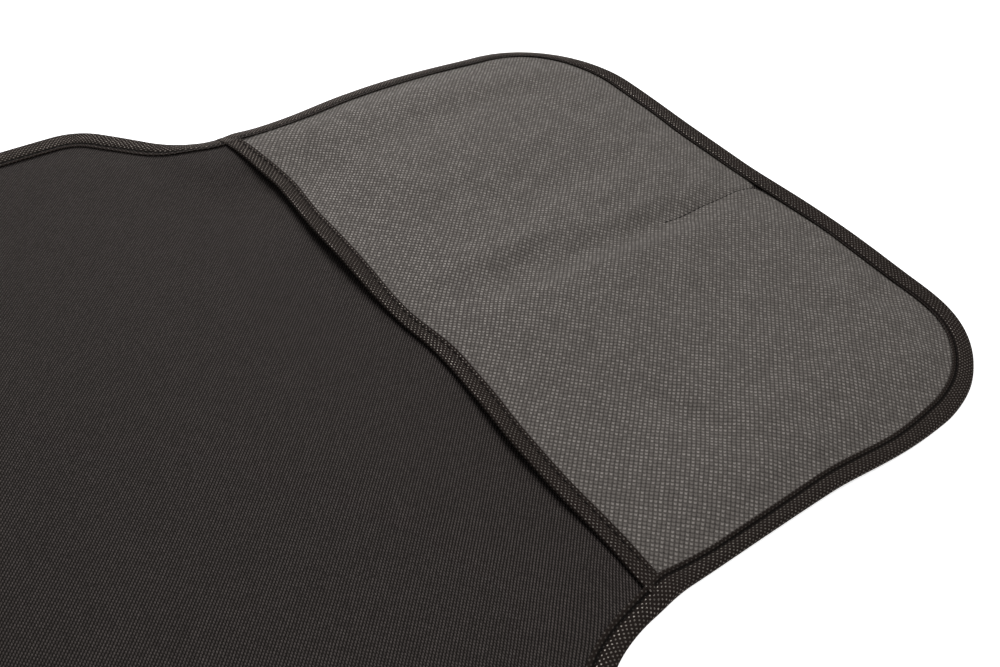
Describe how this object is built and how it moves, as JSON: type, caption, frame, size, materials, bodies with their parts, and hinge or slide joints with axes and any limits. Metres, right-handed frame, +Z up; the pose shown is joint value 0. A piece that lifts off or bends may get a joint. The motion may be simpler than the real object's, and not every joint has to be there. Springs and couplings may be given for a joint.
{
  "type": "seat-back protector mat",
  "caption": "Flat dark twill mat with a narrower head end, bound all round with nonwoven tape, and a grey nonwoven pocket sewn over the head end.",
  "frame": {"origin": "middle of the mat's outline, on the surface that it lies on", "axes": "+Y along the mat towards its head end, +Z up out of the cloth, on the pocket's side, +X to the right"},
  "size_m": [0.4, 0.6, 0.0116],
  "materials": {
    "twill_cloth": "matt dark brown-black diagonal twill",
    "grey_nonwoven": "grey spunbond nonwoven with small pressed bond points",
    "binding_tape": "black spunbond tape with small shiny bond points",
    "sewing_thread": "black polyester thread"
  },
  "bodies": {
    "root": {"main_panel": "twill_cloth", "pocket_panel": "grey_nonwoven", "edge_binding": "binding_tape", "pocket_binding": "binding_tape", "edge_seam_thread": "sewing_thread", "pocket_seam_thread": "sewing_thread", "dart_thread": "sewing_thread"}
  },
  "joints": []
}
